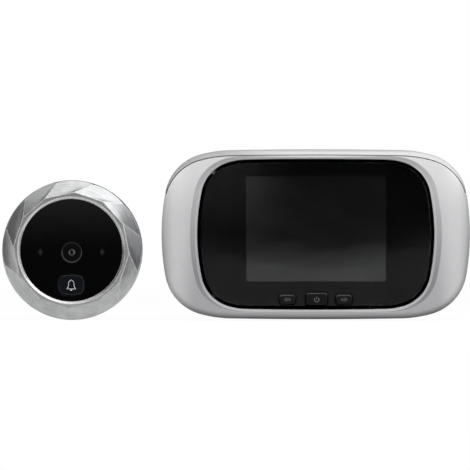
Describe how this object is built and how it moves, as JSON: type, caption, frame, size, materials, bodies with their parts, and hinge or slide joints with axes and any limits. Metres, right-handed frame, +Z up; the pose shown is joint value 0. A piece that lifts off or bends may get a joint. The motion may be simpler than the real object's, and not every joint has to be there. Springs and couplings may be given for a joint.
{
  "type": "peephole door camera",
  "caption": "Door viewer camera: a rounded silver indoor monitor with a black glass panel and buttons on a hooked wall bracket, and a faceted round outdoor camera on a mounting tube.",
  "frame": {"origin": "centre of the peephole hole in the wall bracket, on the door's inside face", "axes": "+Z up, +X to the right as the viewer sees the front, +Y into the door; both units face -Y"},
  "size_m": [0.1938, 0.061, 0.0708],
  "materials": {
    "silver_shell": "satin silver paint on moulded plastic",
    "clear_panel": "polished clear acrylic over black",
    "black_film": "black film",
    "black_gloss": "gloss black plastic",
    "bell_black": "gloss blue-black plastic",
    "display_glass": "dark display glass",
    "tinned_steel": "plated steel sheet",
    "light_guide": "milky plastic",
    "board_green": "solder-masked glass fibre",
    "chip_black": "moulded chip",
    "black_plastic": "matte black plastic",
    "white_plastic": "off-white connector plastic",
    "screw_steel": "plated steel",
    "cell_jacket": "plain printed cell sleeve",
    "bracket_steel": "zinc-plated steel",
    "cast_silver": "satin-plated cast zinc",
    "tube_brass": "nickel-plated brass",
    "lens_grey": "dark grey ring",
    "lens_glass": "coated glass",
    "lamp_lens": "smoked epoxy",
    "pad_foam": "black foam tape",
    "speaker_cone": "paper cone in a steel frame",
    "sensor_dark": "image sensor"
  },
  "bodies": {
    "fixed_side": {"wall_bracket": "bracket_steel", "bezel_ring": "cast_silver", "front_disc": "black_gloss", "bell_switch": "chip_black", "lens_ring": "lens_grey", "lens_glass": "lens_glass", "lens_barrel": "black_plastic", "lens_holder": "black_plastic", "image_sensor": "sensor_dark", "infrared_leds": "lamp_lens", "led_sleeves": "black_plastic", "outdoor_board": "board_green", "outdoor_board_screws": "screw_steel", "outdoor_socket": "white_plastic", "rear_base": "black_plastic", "base_screws": "screw_steel", "adhesive_pad": "pad_foam", "mounting_tube": "tube_brass"},
    "indoor_unit": {"front_shell": "silver_shell", "rear_shell": "silver_shell", "front_panel": "clear_panel", "panel_mask": "black_film", "lcd_frame": "tinned_steel", "lcd_glass": "display_glass", "backlight": "light_guide", "main_board": "board_green", "board_chips": "chip_black", "button_switches": "chip_black", "shell_screws": "screw_steel", "board_screws": "screw_steel", "battery_cells": "cell_jacket", "battery_contacts": "tinned_steel", "usb_socket": "tinned_steel", "card_socket": "tinned_steel", "slide_switch_body": "tinned_steel", "speaker": "speaker_cone", "camera_socket": "white_plastic"},
    "left_button": {"left_button": "black_gloss"},
    "power_button": {"power_button": "black_gloss"},
    "right_button": {"right_button": "black_gloss"},
    "battery_cover": {"battery_cover": "silver_shell"},
    "slide_switch_knob": {"slide_switch_knob": "black_plastic"},
    "bell_button": {"bell_button": "bell_black"},
    "lock_washer": {"lock_washer": "screw_steel"},
    "lock_nut": {"lock_nut": "tube_brass"}
  },
  "joints": [
    {"name": "unit_lift", "type": "slide", "parent": "fixed_side", "child": "indoor_unit", "axis": [0, 0, 1], "range_m": [0, 0.004]},
    {"name": "left_button_press", "type": "slide", "parent": "indoor_unit", "child": "left_button", "axis": [0, 1, 0], "range_m": [0, 0.0004], "stiffness_N_per_m": 300, "springref_m": -0.0004},
    {"name": "power_button_press", "type": "slide", "parent": "indoor_unit", "child": "power_button", "axis": [0, 1, 0], "range_m": [0, 0.0004], "stiffness_N_per_m": 300, "springref_m": -0.0004},
    {"name": "right_button_press", "type": "slide", "parent": "indoor_unit", "child": "right_button", "axis": [0, 1, 0], "range_m": [0, 0.0004], "stiffness_N_per_m": 300, "springref_m": -0.0004},
    {"name": "bell_button_press", "type": "slide", "parent": "fixed_side", "child": "bell_button", "axis": [0, 1, 0], "range_m": [0, 0.0005], "stiffness_N_per_m": 300, "springref_m": -0.0004},
    {"name": "battery_cover_slide", "type": "slide", "parent": "indoor_unit", "child": "battery_cover", "axis": [1, 0, 0], "range_m": [0, 0.044]},
    {"name": "power_slide", "type": "slide", "parent": "indoor_unit", "child": "slide_switch_knob", "axis": [0, 0, 1], "range_m": [0, 0.002]},
    {"name": "washer_travel", "type": "slide", "parent": "fixed_side", "child": "lock_washer", "axis": [0, 1, 0], "range_m": [-0.0022, 0.028]},
    {"name": "nut_spin", "type": "hinge", "parent": "lock_washer", "child": "lock_nut", "pos_m": [-0.1011, 0.006, -0.0066], "axis": [0, 1, 0], "range_deg": [-720, 10000]}
  ],
  "couplings": [
    {"joint": "washer_travel", "follows": "nut_spin", "m_per_rad": 0.00015915}
  ]
}
